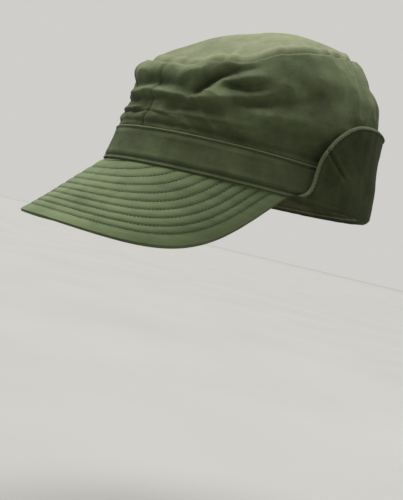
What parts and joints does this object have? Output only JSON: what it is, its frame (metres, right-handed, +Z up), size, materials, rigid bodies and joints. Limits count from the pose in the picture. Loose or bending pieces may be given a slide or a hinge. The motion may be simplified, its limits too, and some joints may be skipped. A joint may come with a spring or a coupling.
{
  "type": "field cap",
  "caption": "Soft cotton field cap with a domed top, a wide band, a curved row-stitched visor and a neck flap that folds down.",
  "frame": {"origin": "centre of the head opening, on the plane of the cap's lower edge", "axes": "+Z up through the crown, -Y out over the visor, +X to the wearer's left"},
  "size_m": [0.1836, 0.2674, 0.1865],
  "materials": {
    "olive_poplin": "matt worn cotton poplin, olive green",
    "faded_poplin": "matt worn cotton poplin, sun-faded",
    "flap_lining": "matt cotton, darker olive",
    "sweatband_twill": "matt cotton twill",
    "cotton_tape": "woven cotton tape",
    "thread": "polyester-cotton sewing thread",
    "label_cloth": "plain woven label",
    "visor_board": "stiff board"
  },
  "bodies": {
    "cap": {"crown_front_panel": "olive_poplin", "crown_side_panel_left": "olive_poplin", "crown_side_panel_right": "olive_poplin", "crown_back_panel": "olive_poplin", "crown_top_panel": "faded_poplin", "top_seam_binding": "cotton_tape", "front_seam_tape_left": "cotton_tape", "front_seam_tape_right": "cotton_tape", "back_seam_tape_left": "cotton_tape", "back_seam_tape_right": "cotton_tape", "outer_band": "olive_poplin", "band_top_stitching": "thread", "band_bottom_stitching": "thread", "sweatband": "sweatband_twill", "sweatband_stitching": "thread", "size_label": "label_cloth", "visor_top_cover": "olive_poplin", "visor_stiffener": "visor_board", "visor_bottom_cover": "olive_poplin", "visor_stitching": "thread", "neck_flap_root": "olive_poplin"},
    "flap_gore_01": {"neck_flap_cover_01": "olive_poplin", "neck_flap_lining_01": "flap_lining"},
    "flap_gore_02": {"neck_flap_cover_02": "olive_poplin", "neck_flap_lining_02": "flap_lining"},
    "flap_gore_03": {"neck_flap_cover_03": "olive_poplin", "neck_flap_lining_03": "flap_lining"},
    "flap_gore_04": {"neck_flap_cover_04": "olive_poplin", "neck_flap_lining_04": "flap_lining"},
    "flap_gore_05": {"neck_flap_cover_05": "olive_poplin", "neck_flap_lining_05": "flap_lining"},
    "flap_gore_06": {"neck_flap_cover_06": "olive_poplin", "neck_flap_lining_06": "flap_lining"},
    "flap_gore_07": {"neck_flap_cover_07": "olive_poplin", "neck_flap_lining_07": "flap_lining"},
    "flap_gore_08": {"neck_flap_cover_08": "olive_poplin", "neck_flap_lining_08": "flap_lining"},
    "flap_gore_09": {"neck_flap_cover_09": "olive_poplin", "neck_flap_lining_09": "flap_lining"},
    "flap_gore_10": {"neck_flap_cover_10": "olive_poplin", "neck_flap_lining_10": "flap_lining"},
    "flap_gore_11": {"neck_flap_cover_11": "olive_poplin", "neck_flap_lining_11": "flap_lining"},
    "flap_gore_12": {"neck_flap_cover_12": "olive_poplin", "neck_flap_lining_12": "flap_lining"},
    "flap_gore_13": {"neck_flap_cover_13": "olive_poplin", "neck_flap_lining_13": "flap_lining"}
  },
  "joints": [
    {"name": "flap_fold_07", "type": "hinge", "parent": "cap", "child": "flap_gore_07", "pos_m": [0, 0.10593, 0], "axis": [-1, 0, 0], "range_deg": [0, 176]},
    {"name": "flap_fold_01", "type": "hinge", "parent": "cap", "child": "flap_gore_01", "pos_m": [0.08733, 0.01362, 0], "axis": [-0.1071, 0.9942, 0], "range_deg": [0, 176]},
    {"name": "flap_fold_02", "type": "hinge", "parent": "cap", "child": "flap_gore_02", "pos_m": [0.08213, 0.03823, 0], "axis": [-0.3062, 0.952, 0], "range_deg": [0, 176]},
    {"name": "flap_fold_03", "type": "hinge", "parent": "cap", "child": "flap_gore_03", "pos_m": [0.0722, 0.06064, 0], "axis": [-0.502, 0.8649, 0], "range_deg": [0, 176]},
    {"name": "flap_fold_04", "type": "hinge", "parent": "cap", "child": "flap_gore_04", "pos_m": [0.05813, 0.07957, 0], "axis": [-0.6872, 0.7265, 0], "range_deg": [0, 176]},
    {"name": "flap_fold_05", "type": "hinge", "parent": "cap", "child": "flap_gore_05", "pos_m": [0.04071, 0.09393, 0], "axis": [-0.8471, 0.5314, 0], "range_deg": [0, 176]},
    {"name": "flap_fold_06", "type": "hinge", "parent": "cap", "child": "flap_gore_06", "pos_m": [0.02096, 0.10289, 0], "axis": [-0.9592, 0.2828, 0], "range_deg": [0, 176]},
    {"name": "flap_fold_08", "type": "hinge", "parent": "cap", "child": "flap_gore_08", "pos_m": [-0.02096, 0.10289, 0], "axis": [-0.9592, -0.2828, 0], "range_deg": [0, 176]},
    {"name": "flap_fold_09", "type": "hinge", "parent": "cap", "child": "flap_gore_09", "pos_m": [-0.04071, 0.09393, 0], "axis": [-0.8471, -0.5314, 0], "range_deg": [0, 176]},
    {"name": "flap_fold_10", "type": "hinge", "parent": "cap", "child": "flap_gore_10", "pos_m": [-0.05813, 0.07957, 0], "axis": [-0.6872, -0.7265, 0], "range_deg": [0, 176]},
    {"name": "flap_fold_11", "type": "hinge", "parent": "cap", "child": "flap_gore_11", "pos_m": [-0.0722, 0.06064, 0], "axis": [-0.502, -0.8649, 0], "range_deg": [0, 176]},
    {"name": "flap_fold_12", "type": "hinge", "parent": "cap", "child": "flap_gore_12", "pos_m": [-0.08213, 0.03823, 0], "axis": [-0.3062, -0.952, 0], "range_deg": [0, 176]},
    {"name": "flap_fold_13", "type": "hinge", "parent": "cap", "child": "flap_gore_13", "pos_m": [-0.08733, 0.01362, 0], "axis": [-0.1071, -0.9942, 0], "range_deg": [0, 176]}
  ],
  "couplings": [
    {"joint": "flap_fold_01", "follows": "flap_fold_07", "ratio": 1},
    {"joint": "flap_fold_02", "follows": "flap_fold_07", "ratio": 1},
    {"joint": "flap_fold_03", "follows": "flap_fold_07", "ratio": 1},
    {"joint": "flap_fold_04", "follows": "flap_fold_07", "ratio": 1},
    {"joint": "flap_fold_05", "follows": "flap_fold_07", "ratio": 1},
    {"joint": "flap_fold_06", "follows": "flap_fold_07", "ratio": 1},
    {"joint": "flap_fold_08", "follows": "flap_fold_07", "ratio": 1},
    {"joint": "flap_fold_09", "follows": "flap_fold_07", "ratio": 1},
    {"joint": "flap_fold_10", "follows": "flap_fold_07", "ratio": 1},
    {"joint": "flap_fold_11", "follows": "flap_fold_07", "ratio": 1},
    {"joint": "flap_fold_12", "follows": "flap_fold_07", "ratio": 1},
    {"joint": "flap_fold_13", "follows": "flap_fold_07", "ratio": 1}
  ]
}
